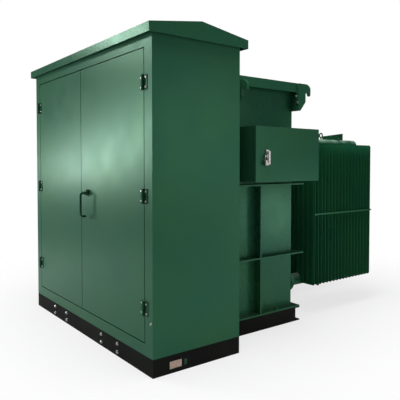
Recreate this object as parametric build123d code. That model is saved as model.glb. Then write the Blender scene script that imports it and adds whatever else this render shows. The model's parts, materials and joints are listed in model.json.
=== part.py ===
from build123d import *
import math
import os

# A pad-mounted three-phase power transformer: a terminal cabinet with two doors and a gabled
# roof in front, an oil tank with bands, hooks and a control box behind it, and three panel
# radiators on the tank's back. Millimetres, +Z up, doors facing -Y. The origin is on the floor,
# on the cabinet's middle plane, under the middle of the front base channel's foot.

# Base channels of the cabinet and the tank
channel_height = 100.0
channel_flange = 48.0
channel_web = 5.5
channel_flange_thick = 8.0

# Cabinet
cabinet_width = 1731.0
cabinet_depth = 603.0
sheet = 3.0
stile_width = 81.0
frame_return = 40.0

# Roof
fascia_bottom_z = 1802.0
fascia_height = 50.0
roof_rise = 53.0
front_overhang = 33.0
rear_overhang = 43.0
side_overhang = 26.0
roof_clearance = 0.3

# Doors
door_bottom_z = 168.0
door_top_z = 1742.0
door_split_offset = -22.0
door_gap = 6.0
door_depth = 25.0
door_sheet = 2.5
door_rib_width = 60.0
door_rib_depth = 18.0

# Hinges of the cabinet doors
hinge_heights = (357.0, 957.0, 1558.0)
hinge_length = 80.0
hinge_leaf_width = 36.0
hinge_leaf_thick = 3.0
knuckle_radius = 8.0
hinge_pin_radius = 4.0
hinge_pin_clearance = 0.05
knuckle_gap = 0.5
knuckle_from_face = 2.0
hinge_sides = 8

# Door handle
handle_from_split = 98.0
handle_z = 942.0
handle_bar_radius = 7.0
handle_stand_off = 50.0
handle_drop = 150.0
handle_bend = 12.0
handle_foot_gap = 14.0
handle_boss_radius = 15.0
handle_boss_length = 24.0
handle_in_boss = 6.0
handle_bar_sides = 8
handle_plate_radius = 25.0
handle_plate_thick = 4.0
handle_ear_low = 4.0
handle_ear_high = 22.0
handle_ear_thick = 4.0
handle_ear_reach = 18.0
handle_ear_hole_out = 10.0
handle_ear_hole_radius = 4.5
round_sides = 16
plate_clearance = 0.3

# Barrier between the high- and low-voltage compartments
barrier_front_gap = 30.0
barrier_top_z = 1700.0

# Tank
tank_width = 1171.0
tank_depth = 750.0
base_plate_thick = 10.0
ledge = 65.0
tank_top_z = 1690.0
cover_thick = 10.0
skirt_height = 64.0
skirt_thick = 6.0
cover_overhang = 65.0
top_flange_width = 50.0
top_flange_thick = 12.0
rear_channel_inset = 25.0

# Bands and ribs of the tank
band_width = 63.0
band_thick = 10.0
lower_band_z = 484.0
upper_band_z = 980.0
rib_thick = 10.0
rib_from_cabinet = 388.0

# Lifting hooks
hook_thick = 16.0
hook_gusset_thick = 16.0
hook_reach = 108.0
hook_height = 192.0
hook_top_z = 1698.0
hook_lip = 32.0
hook_lip_drop = 84.0
hook_notch_width = 20.0
hook_notch_height = 22.0
hook_body_drop = 128.0
hook_foot_reach = 2.0
front_hook_lowered = 30.0
front_hook_reach = 136.0
front_hook_height = 168.0
front_hook_lip_drop = 74.0
front_hook_body_drop = 102.0
front_hook_from_cabinet = 190.0
hook_under_cover = 6.0

# Control box on the tank's right side
box_from_cabinet = 132.0
box_length = 581.0
box_bottom_z = 1016.0
box_height = 344.0
box_depth = 280.0
box_sheet = 2.5
box_door_depth = 20.0
box_door_gap = 5.0
box_rail_height = 35.0
box_rail_thick = 8.0
box_rail_inset = 60.0
box_rail_shares = (0.35, 0.68)
box_knuckle_radius = 6.0
box_pin_radius = 3.0
box_hinge_length = 60.0
box_hinge_inset = 60.0
box_hinge_leaf_thick = 3.0
box_knuckle_from_box = 1.0
latch_from_edge = 96.0
latch_z = 1197.0
latch_bar_length = 82.0
latch_base_width = 28.0
latch_base_thick = 4.0
latch_base_rise = 18.0
latch_base_drop = 30.0
latch_pivot_radius = 9.0
latch_lever_gap = 8.0
latch_lever_thick = 8.0
latch_lever_width = 16.0
latch_lever_rise = 10.0
staple_from_pivot = 24.0
staple_z = 1177.0
staple_thick = 6.0
staple_height = 14.0
staple_reach = 24.0
staple_hole_edge = 7.0
staple_hole_half = 4.5
padlock_thick = 20.0
padlock_width = 30.0
padlock_height = 34.0
shackle_wire_radius = 3.0
shackle_bend = 9.0
shackle_length = 15.0
shackle_segments = 6

# Radiators on the tank's back
radiator_past_tank = 65.0
panel_count = 18
panel_pitch = 40.0
panel_width = 350.0
panel_bottom_z = 222.0
panel_top_z = 1280.0
first_panel_from_tank = 190.0
panel_rim_thick = 3.0
panel_thick = 11.0
header_flute_width = 112.0
flute_gap = 14.0
flute_slope = 5.0
flute_margin = 12.0
header_radius = 44.5
header_clearance = 0.3
top_header_z = 1280.0
bottom_header_z = 247.0
header_flange_radius = 77.0
header_flange_thick = 14.0
header_flange_from_tank = 47.0
seat_sides = 6
tie_bar_z = 748.0
tie_bar_height = 12.0
tie_bar_thick = 5.0
tie_bar_past_panels = 11.0

# Lugs, eyes and plugs of the radiators
lug_start = 293.0
lug_length = 248.0
lug_low_height = 24.0
lug_high_height = 54.0
lug_thick = 12.0
lug_hole_radius = 8.0
lug_hole_from_end = 42.0
lug_hole_above_middle = 6.0
eye_from_first_panel = 271.0
eye_radius = 17.0
eye_wire_radius = 5.0
eye_stem_radius = 7.0
eye_above_header = 4.0
drain_plug_from_first_panel = 247.0
drain_plug_radius = 15.0
drain_plug_drop = 46.0
plug_sides = 8
vent_plug_from_first_panel = 468.0
vent_plug_radius = 9.0
vent_plug_height = 12.0

# Bushings and terminals on the tank's front wall, in the cabinet
high_bushing_x = (-450.0, -300.0, -150.0)
high_bushing_z = 1230.0
bushing_core_radius = 32.0
bushing_shed_radius = 55.0
bushing_shed_count = 4
bushing_shed_pitch = 42.0
bushing_shed_thick = 8.0
bushing_tip = 12.0
bushing_sides = 10
bushing_flange_radius = 62.0
bushing_flange_thick = 14.0
stud_radius = 8.0
stud_length = 45.0
low_bushing_x = (110.0, 230.0, 350.0, 470.0)
low_bushing_z = 1080.0
low_bushing_radius = 36.0
low_bushing_length = 60.0
spade_width = 50.0
spade_thick = 12.0
spade_length = 95.0
spade_hole_radius = 7.0
spade_hole_spacing = 44.0
spade_hole_from_end = 22.0

# Levels and planes that follow from the sizes above
half_width = cabinet_width / 2
front_y = -channel_flange / 2
rear_y = front_y + cabinet_depth
tank_rear_y = rear_y + tank_depth
tank_half = tank_width / 2
base_plate_top = channel_height + base_plate_thick
eave_z = fascia_bottom_z + fascia_height
ridge_z = eave_z + roof_rise
split_x = door_split_offset
door_seam_x = half_width - stile_width
roof_front_y = front_y - front_overhang
roof_back_y = rear_y + rear_overhang
roof_middle_y = (roof_front_y + roof_back_y) / 2
roof_run = roof_middle_y - roof_front_y
cover_top_z = tank_top_z + cover_thick
skirt_bottom_z = cover_top_z - skirt_height
first_panel_y = tank_rear_y + first_panel_from_tank
last_panel_y = first_panel_y + (panel_count - 1) * panel_pitch
header_tip_y = last_panel_y - panel_thick / 2 - header_clearance
radiator_offset = tank_half + radiator_past_tank - panel_width / 2
header_flat = header_radius * math.cos(math.pi / round_sides)
box_front_x = tank_half + box_depth
box_start_y = rear_y + box_from_cabinet
box_end_y = box_start_y + box_length
rib_y = rear_y + rib_from_cabinet


def block(x0, x1, y0, y1, z0, z1):
    """A box between two corners."""
    size = Box(x1 - x0, y1 - y0, z1 - z0)
    return Pos((x0 + x1) / 2, (y0 + y1) / 2, (z0 + z1) / 2) * size


def plate_yz(points, x0, thick):
    """A flat plate cut to an outline in the YZ plane, from x0 towards +X."""
    face = make_face(Polyline([Vector(x0, y, z) for y, z in points], close=True))
    return extrude(face, amount=thick, dir=(1, 0, 0))


def plate_xz(points, y0, thick):
    """A flat plate cut to an outline in the XZ plane, from y0 towards +Y."""
    face = make_face(Polyline([Vector(x, y0, z) for x, z in points], close=True))
    return extrude(face, amount=thick, dir=(0, 1, 0))


def plate_xy(points, z0, thick):
    """A flat plate cut to an outline in the XY plane, from z0 upwards."""
    face = make_face(Polyline([Vector(x, y, z0) for x, y in points], close=True))
    return extrude(face, amount=thick, dir=(0, 0, 1))


def rod(radius, start, end):
    """A round bar between two points."""
    start = Vector(start)
    end = Vector(end)
    along = end - start
    return extrude(Plane(origin=start, z_dir=along) * Circle(radius), amount=along.length)


def many_sided_rod(radius, sides, start, end):
    """A straight bar with a many-sided section whose corners lie at the radius."""
    start = Vector(start)
    end = Vector(end)
    along = end - start
    section = RegularPolygon(radius, sides, rotation=180 / sides)
    return extrude(Plane(origin=start, z_dir=along) * section, amount=along.length)


def many_sided_bore(radius, sides, start, end):
    """A many-sided cutter whose flats lie at the radius, so that a round bar fits inside."""
    return many_sided_rod(radius / math.cos(math.pi / sides), sides, start, end)


def mirrored(shape):
    """The same shape on the other side of the middle plane."""
    return mirror(shape, about=Plane.YZ)


def write(name, shapes):
    """Write one node, as one solid or several that don't touch."""
    solids = []
    for shape in shapes:
        solids.extend(shape.solids())
    body = solids[0] if len(solids) == 1 else Compound(children=solids)
    export_step(body, "parts/" + name + ".step")


def channel_along_x(x0, x1, web_y, side):
    """A base channel along X; its flanges point to +Y where side is 1 and to -Y where it is -1."""
    flange_y = web_y + side * channel_flange
    inner_y = web_y + side * channel_web
    outer = block(x0, x1, min(web_y, flange_y), max(web_y, flange_y), 0, channel_height)
    hollow = block(
        x0 - 1,
        x1 + 1,
        min(inner_y, flange_y + side),
        max(inner_y, flange_y + side),
        channel_flange_thick,
        channel_height - channel_flange_thick,
    )
    return outer - hollow


def channel_along_y(y0, y1, web_x, side):
    """A base channel along Y; its flanges point to +X where side is 1 and to -X where it is -1."""
    flange_x = web_x + side * channel_flange
    inner_x = web_x + side * channel_web
    outer = block(min(web_x, flange_x), max(web_x, flange_x), y0, y1, 0, channel_height)
    hollow = block(
        min(inner_x, flange_x + side),
        max(inner_x, flange_x + side),
        y0 - 1,
        y1 + 1,
        channel_flange_thick,
        channel_height - channel_flange_thick,
    )
    return outer - hollow


def roof_drop(thick):
    """How far a face that lies a given distance under the roof's slope lies below it, upright."""
    return thick * math.hypot(roof_rise, roof_run) / roof_run


def wall_top(y):
    """The height where a wall at y ends, just under the roof's sheet."""
    from_eave = min(y - roof_front_y, roof_back_y - y)
    return eave_z + from_eave * roof_rise / roof_run - roof_drop(sheet) - roof_clearance


def cabinet_base():
    """The cabinet's ring of channels with their webs outside."""
    front = channel_along_x(-half_width, half_width, front_y, 1)
    back = channel_along_x(-half_width, half_width, rear_y, -1)
    inner_front = front_y + channel_web
    inner_rear = rear_y - channel_web
    right = channel_along_y(inner_front, inner_rear, half_width, -1)
    left = channel_along_y(inner_front, inner_rear, -half_width, 1)
    return front + back + right + left


def tank_base():
    """Two long channels under the tank's sides and a cross channel at the back, flanges outside."""
    side_x = tank_half + ledge
    web_y = tank_rear_y - rear_channel_inset
    right = channel_along_y(rear_y, web_y, side_x, -1)
    cross = channel_along_x(-side_x, side_x, web_y, 1)
    return right + mirrored(right) + cross


def cabinet_front_frame():
    """The front frame: a face with the door opening and a return round it and at its edges."""
    z0 = channel_height
    z1 = wall_top(front_y)
    face = block(-half_width, half_width, front_y, front_y + frame_return, z0, z1)
    opening_x = door_seam_x + door_gap / 2
    low = door_bottom_z - door_gap / 2
    high = door_top_z + door_gap / 2
    opening = block(-opening_x, opening_x, front_y - 1, front_y + frame_return + 1, low, high)
    frame = face - opening
    back = front_y + frame_return
    inside = front_y + sheet
    for side in (-1, 1):
        outer_x = side * (half_width - sheet)
        inner_x = side * (opening_x + sheet)
        low_x, high_x = sorted((outer_x, inner_x))
        frame = frame - block(low_x, high_x, inside, back + 1, z0 - 1, z1 + 1)
    top_rail = block(-opening_x, opening_x, inside, back + 1, high + sheet, z1 + 1)
    low_rail = block(-opening_x, opening_x, inside, back + 1, z0 - 1, low - sheet)
    return frame - top_rail - low_rail


def cabinet_side():
    """The right side sheet, from the front frame to the rear wall, with its top cut to the gable."""
    start = front_y + frame_return
    outline = [
        (start, channel_height),
        (rear_y, channel_height),
        (rear_y, wall_top(rear_y)),
        (roof_middle_y, wall_top(roof_middle_y)),
        (start, wall_top(start)),
    ]
    return plate_yz(outline, half_width - sheet, sheet)


def cabinet_rear_wall():
    """The rear sheet, cut out where the tank's front wall closes it."""
    inner_x = half_width - sheet
    wall = block(-inner_x, inner_x, rear_y - sheet, rear_y, channel_height, wall_top(rear_y))
    window_x = tank_half - top_flange_width
    window = block(
        -window_x,
        window_x,
        rear_y - sheet - 1,
        rear_y + 1,
        base_plate_top + top_flange_width,
        skirt_bottom_z - top_flange_width,
    )
    return wall - window


def roof_outline(inset):
    """The roof's end view, with the walls and slopes moved in by one sheet where inset is set."""
    front = roof_front_y + inset
    back = roof_back_y - inset
    eave = eave_z + inset * roof_rise / roof_run - roof_drop(inset)
    low = fascia_bottom_z - (1 if inset else 0)
    ridge = ridge_z - roof_drop(inset)
    return [(front, low), (back, low), (back, eave), (roof_middle_y, ridge), (front, eave)]


def cabinet_roof():
    """A gabled roof of folded sheet, with its fascia turned down all round."""
    edge_x = half_width + side_overhang
    outside = plate_yz(roof_outline(0), -edge_x, 2 * edge_x)
    inside = plate_yz(roof_outline(sheet), -edge_x + sheet, 2 * (edge_x - sheet))
    return outside - inside


def compartment_barrier():
    """The steel sheet between the two compartments, from the rear wall towards the doors."""
    front = front_y + door_depth + barrier_front_gap
    back = rear_y - sheet
    low = channel_height
    sheet_part = block(split_x, split_x + sheet, front, back, low, barrier_top_z)
    foot = block(split_x, split_x + frame_return, front, back, low, low + sheet)
    return sheet_part + foot


def door(left_x, right_x):
    """A door leaf between two seams: a folded tray with two stiffening ribs across its back."""
    back = front_y + door_depth
    left_x = left_x + door_gap / 2
    right_x = right_x - door_gap / 2
    low = door_bottom_z + door_gap / 2
    high = door_top_z - door_gap / 2
    leaf = block(left_x, right_x, front_y, back, low, high)
    pocket = block(
        left_x + door_sheet,
        right_x - door_sheet,
        front_y + door_sheet,
        back + 1,
        low + door_sheet,
        high - door_sheet,
    )
    leaf = leaf - pocket
    for share in (1 / 3, 2 / 3):
        rib_z = low + share * (high - low) - door_rib_width / 2
        rib = block(
            left_x + door_sheet,
            right_x - door_sheet,
            front_y + door_sheet,
            front_y + door_sheet + door_rib_depth,
            rib_z,
            rib_z + door_rib_width,
        )
        leaf = leaf + rib
    return leaf


def door_hinge(pin_x, z, side):
    """One hinge: the frame's leaf with two knuckles and the pin, and the door's leaf with one.

    side is 1 where the frame lies towards +X of the pin, and -1 where it lies towards -X.
    """
    pin_y = front_y - knuckle_radius - knuckle_from_face
    low = z - hinge_length / 2
    third = hinge_length / 3
    leaf_y = front_y - hinge_leaf_thick
    far = side * hinge_leaf_width

    def leaf(x_a, x_b, z_a, z_b):
        return block(min(x_a, x_b), max(x_a, x_b), leaf_y, front_y, z_a, z_b)

    def arm(z_a, z_b, direction):
        x_b = pin_x + direction * knuckle_radius
        return block(min(pin_x, x_b), max(pin_x, x_b), pin_y, front_y, z_a, z_b)

    def knuckle(z_a, z_b):
        return many_sided_rod(knuckle_radius, hinge_sides, (pin_x, pin_y, z_a), (pin_x, pin_y, z_b))

    ends = (pin_x, pin_y, low), (pin_x, pin_y, low + hinge_length)
    fixed = many_sided_rod(hinge_pin_radius, hinge_sides, *ends)
    for z_a in (low, low + 2 * third):
        fixed = fixed + knuckle(z_a, z_a + third) + arm(z_a, z_a + third, side)
    fixed = fixed + leaf(pin_x + side * knuckle_radius, pin_x + far, low, low + hinge_length)
    z_a = low + third + knuckle_gap
    z_b = low + 2 * third - knuckle_gap
    moving = knuckle(z_a, z_b) + arm(z_a, z_b, -side)
    moving = moving + leaf(pin_x - side * knuckle_radius, pin_x - far, low, low + hinge_length)
    return fixed, moving - many_sided_bore(hinge_pin_radius + hinge_pin_clearance, hinge_sides, *ends)


def door_hinges(pin_x, side):
    """The three hinges of one door, as the frame's parts and the door's parts."""
    pairs = [door_hinge(pin_x, z, side) for z in hinge_heights]
    return [pair[0] for pair in pairs], [pair[1] for pair in pairs]


def handle_plate():
    """The round plate under the handle, with an ear that stands out from it for a padlock."""
    x = split_x + handle_from_split
    back = front_y - handle_plate_thick
    disc = many_sided_rod(handle_plate_radius, round_sides, (x, front_y, handle_z), (x, back, handle_z))
    ear_x = x + handle_plate_radius
    low = handle_z + handle_ear_low
    high = handle_z + handle_ear_high
    foot = block(x, ear_x, back, front_y, low, high)
    ear = block(ear_x - handle_ear_thick, ear_x, back - handle_ear_reach, front_y, low, high)
    hole_y = back - handle_ear_hole_out
    hole_z = (low + high) / 2
    hole = rod(handle_ear_hole_radius, (x, hole_y, hole_z), (ear_x + 1, hole_y, hole_z))
    return disc + foot + ear - hole


def door_handle():
    """A bent round bar on a boss: out from the door, straight down, and back towards the door."""
    x = split_x + handle_from_split
    seat_y = front_y - handle_plate_thick - plate_clearance
    boss_tip = front_y - handle_boss_length
    arm_y = front_y - handle_stand_off
    foot_z = handle_z - handle_drop
    boss = many_sided_rod(handle_boss_radius, round_sides, (x, seat_y, handle_z), (x, boss_tip, handle_z))
    points = [
        (x, boss_tip + handle_in_boss, handle_z),
        (x, arm_y + handle_bend, handle_z),
        (x, arm_y, handle_z - handle_bend),
        (x, arm_y, foot_z + handle_bend),
        (x, arm_y + handle_bend, foot_z),
        (x, front_y - handle_foot_gap, foot_z),
    ]
    path = Polyline([Vector(point) for point in points])
    start = Plane(origin=points[0], z_dir=(0, -1, 0))
    section = start * RegularPolygon(handle_bar_radius, handle_bar_sides, rotation=180 / handle_bar_sides)
    return boss + sweep(section, path=path, transition=Transition.RIGHT)


def tank_base_plate():
    """The green plate that the tank stands on, with its ledge at the sides and the back."""
    edge_x = tank_half + ledge
    back = tank_rear_y - rear_channel_inset + channel_flange
    return block(-edge_x, edge_x, rear_y, back, channel_height, base_plate_top)


def tank_body():
    """The closed oil tank."""
    return block(-tank_half, tank_half, rear_y, tank_rear_y, base_plate_top, tank_top_z)


def tank_top_flange():
    """The flange round the tank's top edge that the cover is bolted to."""
    x = tank_half + top_flange_width
    low = tank_top_z - top_flange_thick
    ring = block(-x, x, rear_y, tank_rear_y + top_flange_width, low, tank_top_z)
    return ring - block(-tank_half, tank_half, rear_y - 1, tank_rear_y, low - 1, tank_top_z + 1)


def tank_cover():
    """The cover plate, with its skirt turned down at the sides and the back."""
    x = tank_half + cover_overhang
    back = tank_rear_y + cover_overhang
    cover = block(-x, x, rear_y, back, skirt_bottom_z, cover_top_z)
    inner_x = x - skirt_thick
    hollow = block(-inner_x, inner_x, rear_y - 1, back - skirt_thick, skirt_bottom_z - 1, tank_top_z)
    return cover - hollow


def tank_band(z):
    """A flat bar round the tank's sides and back."""
    x = tank_half + band_width
    bar = block(-x, x, rear_y, tank_rear_y + band_width, z, z + band_thick)
    return bar - block(-tank_half, tank_half, rear_y - 1, tank_rear_y, z - 1, z + band_thick + 1)


def tank_ribs():
    """The upright flat bars on the tank's sides, between base plate and bands."""
    ribs = []
    start = rib_y - rib_thick / 2
    for low, high in ((base_plate_top, lower_band_z), (lower_band_z + band_thick, upper_band_z)):
        rib = block(tank_half, tank_half + band_width, start, start + rib_thick, low, high)
        ribs.append(rib)
        ribs.append(mirrored(rib))
    return ribs


def hook_outline(height, lip_drop, body_drop):
    """A lifting hook's outline, outwards and upwards from its root, with the notch under its lip."""
    lip = hook_reach - hook_lip
    body = lip - hook_notch_width
    notch_top = height - lip_drop + hook_notch_height
    return [
        (0, 0),
        (hook_foot_reach, 0),
        (body, height - body_drop),
        (body, notch_top - 8),
        (body + 6, notch_top),
        (lip + 8, notch_top),
        (lip + 14, notch_top - 18),
        (hook_reach - 8, height - lip_drop),
        (hook_reach, height - lip_drop + 10),
        (hook_reach, height - 28),
        (hook_reach - 12, height - 12),
        (lip - 6, height),
        (0, height),
    ]


def rear_hook():
    """The right rear hook: a hook plate beside the cover's edge, on a gusset from the tank's corner."""
    low = hook_top_z - hook_height
    plate_x = tank_half + cover_overhang + plate_clearance
    root_y = tank_rear_y - hook_gusset_thick
    outline = [(root_y, low)]
    hook = hook_outline(hook_height, hook_lip_drop, hook_body_drop)
    outline.extend((tank_rear_y + out, low + up) for out, up in hook[1:-1])
    outline.append((root_y, low + hook_height))
    plate = plate_yz(outline, plate_x, hook_thick)
    gusset_top = skirt_bottom_z - hook_under_cover
    return plate + block(tank_half, plate_x, root_y, tank_rear_y, low, gusset_top)


def front_hook():
    """The right front hook: a plate that stands out sideways from the tank, notched for the cover."""
    low = hook_top_z - front_hook_height - front_hook_lowered
    y = rear_y + front_hook_from_cabinet
    start = tank_half + front_hook_reach - hook_reach
    outline = [(tank_half, low)]
    hook = hook_outline(front_hook_height, front_hook_lip_drop, front_hook_body_drop)
    outline.extend((start + out, low + up) for out, up in hook[1:-1])
    outline.append((tank_half, low + front_hook_height))
    plate = plate_xz(outline, y, hook_thick)
    cover_edge = tank_half + cover_overhang + plate_clearance
    notch_z = skirt_bottom_z - hook_under_cover
    return plate - block(tank_half - 1, cover_edge, y - 1, y + hook_thick + 1, notch_z, cover_top_z)


def control_box():
    """The control box on the tank's right side, open towards its door."""
    face_x = box_front_x - box_door_depth - box_door_gap
    top_z = box_bottom_z + box_height
    shell = block(tank_half, face_x, box_start_y, box_end_y, box_bottom_z, top_z)
    inside = block(
        tank_half + box_sheet,
        face_x + 1,
        box_start_y + box_sheet,
        box_end_y - box_sheet,
        box_bottom_z + box_sheet,
        top_z - box_sheet,
    )
    return shell - inside


def box_rails():
    """Two rails for terminals on the control box's back."""
    rails = []
    x = tank_half + box_sheet
    start = box_start_y + box_rail_inset
    end = box_end_y - box_rail_inset
    for share in box_rail_shares:
        z = box_bottom_z + share * box_height
        rails.append(block(x, x + box_rail_thick, start, end, z, z + box_rail_height))
    return rails


def control_box_door():
    """The control box's door: a folded tray as large as the box."""
    back = box_front_x - box_door_depth
    top_z = box_bottom_z + box_height
    leaf = block(back, box_front_x, box_start_y, box_end_y, box_bottom_z, top_z)
    pocket = block(
        back - 1,
        box_front_x - box_sheet,
        box_start_y + box_sheet,
        box_end_y - box_sheet,
        box_bottom_z + box_sheet,
        top_z - box_sheet,
    )
    return leaf - pocket


def box_hinge(z):
    """One hinge at the control box's rear edge: the box's part with the pin, and the door's part."""
    pin_x = box_front_x - box_door_depth - box_door_gap / 2
    pin_y = box_end_y + box_knuckle_radius + box_knuckle_from_box
    low = z - box_hinge_length / 2
    high = low + box_hinge_length
    leaf_y = box_end_y + box_hinge_leaf_thick
    back_x = pin_x - box_hinge_length / 2

    def knuckle(z_a, z_b):
        return many_sided_rod(box_knuckle_radius, hinge_sides, (pin_x, pin_y, z_a), (pin_x, pin_y, z_b))

    ends = (pin_x, pin_y, low), (pin_x, pin_y, high)
    fixed = many_sided_rod(box_pin_radius, hinge_sides, *ends) + knuckle(low, z)
    fixed = fixed + block(back_x, pin_x, box_end_y, leaf_y, low, z)
    fixed = fixed + block(pin_x - box_knuckle_radius, pin_x, box_end_y, pin_y, low, z)
    low_moving = z + knuckle_gap
    moving = knuckle(low_moving, high)
    moving = moving + block(pin_x, box_front_x, box_end_y, leaf_y, low_moving, high)
    moving = moving + block(pin_x, pin_x + box_knuckle_radius, box_end_y, pin_y, low_moving, high)
    return fixed, moving - many_sided_bore(box_pin_radius + hinge_pin_clearance, hinge_sides, *ends)


def box_hinges():
    """The two hinges of the control box."""
    heights = (box_bottom_z + box_hinge_inset, box_bottom_z + box_height - box_hinge_inset)
    pairs = [box_hinge(z) for z in heights]
    return [pair[0] for pair in pairs], [pair[1] for pair in pairs]


def box_latch():
    """The control box's latch: a base plate, a lever that stands proud of it, and a staple beside it."""
    y = box_start_y + latch_from_edge
    x = box_front_x
    seat = x + latch_base_thick
    half = latch_base_width / 2
    base = block(x, seat, y - half, y + half, latch_z - latch_base_drop, latch_z + latch_base_rise)
    lever_x = seat + latch_lever_gap
    tip = lever_x + latch_lever_thick
    pivot = many_sided_rod(latch_pivot_radius, round_sides, (seat, y, latch_z), (tip, y, latch_z))
    half = latch_lever_width / 2
    lever_top = latch_z + latch_lever_rise
    lever = block(lever_x, tip, y - half, y + half, lever_top - latch_bar_length, lever_top)
    staple_y = y - staple_from_pivot
    half = staple_thick / 2
    low = staple_z - staple_height / 2
    staple = block(x, x + staple_reach, staple_y - half, staple_y + half, low, low + staple_height)
    foot = block(x, seat, staple_y - half, y, low, low + staple_height)
    hole_x = x + staple_reach - staple_hole_edge
    hole = block(
        hole_x - staple_hole_half,
        hole_x + staple_hole_half,
        staple_y - staple_thick,
        staple_y + staple_thick,
        staple_z - staple_hole_half,
        staple_z + staple_hole_half,
    )
    return base + pivot + lever + foot + staple - hole


def box_padlock():
    """The padlock that hangs in the latch's staple by its shackle."""
    y = box_start_y + latch_from_edge - staple_from_pivot
    x = box_front_x + staple_reach - staple_hole_edge
    outer = shackle_bend + shackle_wire_radius
    inner = shackle_bend - shackle_wire_radius
    inner_rise = math.sqrt(inner**2 - (staple_thick / 2) ** 2)
    arc_z = staple_z - staple_hole_half + plate_clearance - inner_rise
    body_top = arc_z - shackle_length
    half_x = padlock_thick / 2
    half_y = padlock_width / 2
    body = block(x - half_x, x + half_x, y - half_y, y + half_y, body_top - padlock_height, body_top)
    turns = [math.pi * step / shackle_segments for step in range(shackle_segments + 1)]
    outline = [(y + outer * math.cos(turn), arc_z + outer * math.sin(turn)) for turn in turns]
    outline.extend([(y - outer, body_top), (y - inner, body_top)])
    outline.extend((y - inner * math.cos(turn), arc_z + inner * math.sin(turn)) for turn in turns)
    outline.extend([(y + inner, body_top), (y + outer, body_top)])
    return body + plate_yz(outline, x - shackle_wire_radius, 2 * shackle_wire_radius)


def panel_section():
    """The upper view of one panel: a wide flute for the headers, one on each side, and the seam."""
    valley = panel_rim_thick / 2
    crest = panel_thick / 2
    middle = header_flute_width / 2
    end = panel_width / 2 - flute_margin
    side = [(-panel_width / 2, valley)]
    for start, stop in ((-end, -middle - flute_gap), (-middle, middle), (middle + flute_gap, end)):
        side.append((start, valley))
        side.append((start + flute_slope, crest))
        side.append((stop - flute_slope, crest))
        side.append((stop, valley))
    side.append((panel_width / 2, valley))
    return side + [(x, -y) for x, y in reversed(side)]


def radiator_panel(centre_x, y):
    """One pressed panel with, where the headers pass, a seat for each of them."""
    section = [(centre_x + x, y + out) for x, out in panel_section()]
    panel = plate_xy(section, panel_bottom_z, panel_top_z - panel_bottom_z)
    if y < header_tip_y:
        for z in (top_header_z, bottom_header_z):
            ends = (centre_x, y - panel_thick, z), (centre_x, y + panel_thick, z)
            panel = panel - many_sided_bore(header_radius + header_clearance, seat_sides, *ends)
    return panel


def radiator_panels(centre_x):
    """All panels of one radiator."""
    return [radiator_panel(centre_x, first_panel_y + index * panel_pitch) for index in range(panel_count)]


def header_pipe(centre_x, z):
    """One header pipe, closed by the last panel, with the flange pair near the tank."""
    pipe = many_sided_rod(header_radius, round_sides, (centre_x, tank_rear_y, z), (centre_x, header_tip_y, z))
    start = tank_rear_y + header_flange_from_tank
    ends = (centre_x, start, z), (centre_x, start + 2 * header_flange_thick, z)
    return pipe + many_sided_rod(header_flange_radius, round_sides, *ends)


def radiator_headers(centre_x):
    """The top and bottom header pipes of one radiator."""
    return [header_pipe(centre_x, z) for z in (top_header_z, bottom_header_z)]


def tie_bars():
    """The flat bars across the panels' edges, one on each side of each radiator."""
    bars = []
    start = first_panel_y - tie_bar_past_panels
    end = last_panel_y + tie_bar_past_panels
    low = tie_bar_z
    high = low + tie_bar_height
    for centre_x in (-radiator_offset, 0, radiator_offset):
        for side in (-1, 1):
            x_a = centre_x + side * (panel_width / 2)
            x_b = x_a + side * tie_bar_thick
            bars.append(block(min(x_a, x_b), max(x_a, x_b), start, end, low, high))
    return bars


def off_header(shape, centre_x, z):
    """A piece with its foot cut to the faces of a header pipe, so that it sits on the pipe."""
    ends = (centre_x, tank_rear_y, z), (centre_x, header_tip_y, z)
    return shape - many_sided_bore(header_flat + header_clearance, round_sides, *ends)


def header_lug(centre_x):
    """A tapered lifting lug on the top header, with its hole at the high end."""
    start = first_panel_y + lug_start
    end = start + lug_length
    base = top_header_z + header_radius
    foot = top_header_z + header_flat + header_clearance
    outline = [
        (start, foot),
        (end, foot),
        (end, base + lug_high_height),
        (start, base + lug_low_height),
    ]
    lug = plate_yz(outline, centre_x - lug_thick / 2, lug_thick)
    hole_y = end - lug_hole_from_end
    hole_z = base + lug_high_height / 2 + lug_hole_above_middle
    hole_ends = (centre_x - lug_thick, hole_y, hole_z), (centre_x + lug_thick, hole_y, hole_z)
    return lug - rod(lug_hole_radius, *hole_ends)


def header_eye(centre_x):
    """A ring eye on a short stem, on the top header."""
    y = first_panel_y + eye_from_first_panel
    base = top_header_z + header_radius
    ring_z = base + eye_radius + 2 * eye_wire_radius + eye_above_header
    ends = (centre_x - eye_wire_radius, y, ring_z), (centre_x + eye_wire_radius, y, ring_z)
    ring = many_sided_rod(eye_radius + eye_wire_radius, round_sides, *ends)
    hole = many_sided_rod(eye_radius - eye_wire_radius, round_sides, *ends)
    foot = (centre_x, y, top_header_z)
    stem = many_sided_rod(eye_stem_radius, plug_sides, foot, (centre_x, y, ring_z - eye_radius))
    return off_header(ring + stem - hole, centre_x, top_header_z)


def drain_plug(centre_x):
    """The drain plug under the bottom header."""
    y = first_panel_y + drain_plug_from_first_panel
    low = bottom_header_z - header_radius - drain_plug_drop
    ends = (centre_x, y, low), (centre_x, y, bottom_header_z)
    return off_header(many_sided_rod(drain_plug_radius, plug_sides, *ends), centre_x, bottom_header_z)


def vent_plug(centre_x):
    """The vent plug on the top header, past the lug's low end."""
    y = first_panel_y + vent_plug_from_first_panel
    side_x = centre_x + lug_thick / 2 + header_clearance + vent_plug_radius
    ends = (side_x, y, top_header_z), (side_x, y, top_header_z + header_radius + vent_plug_height)
    return off_header(many_sided_rod(vent_plug_radius, plug_sides, *ends), centre_x, top_header_z)


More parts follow.
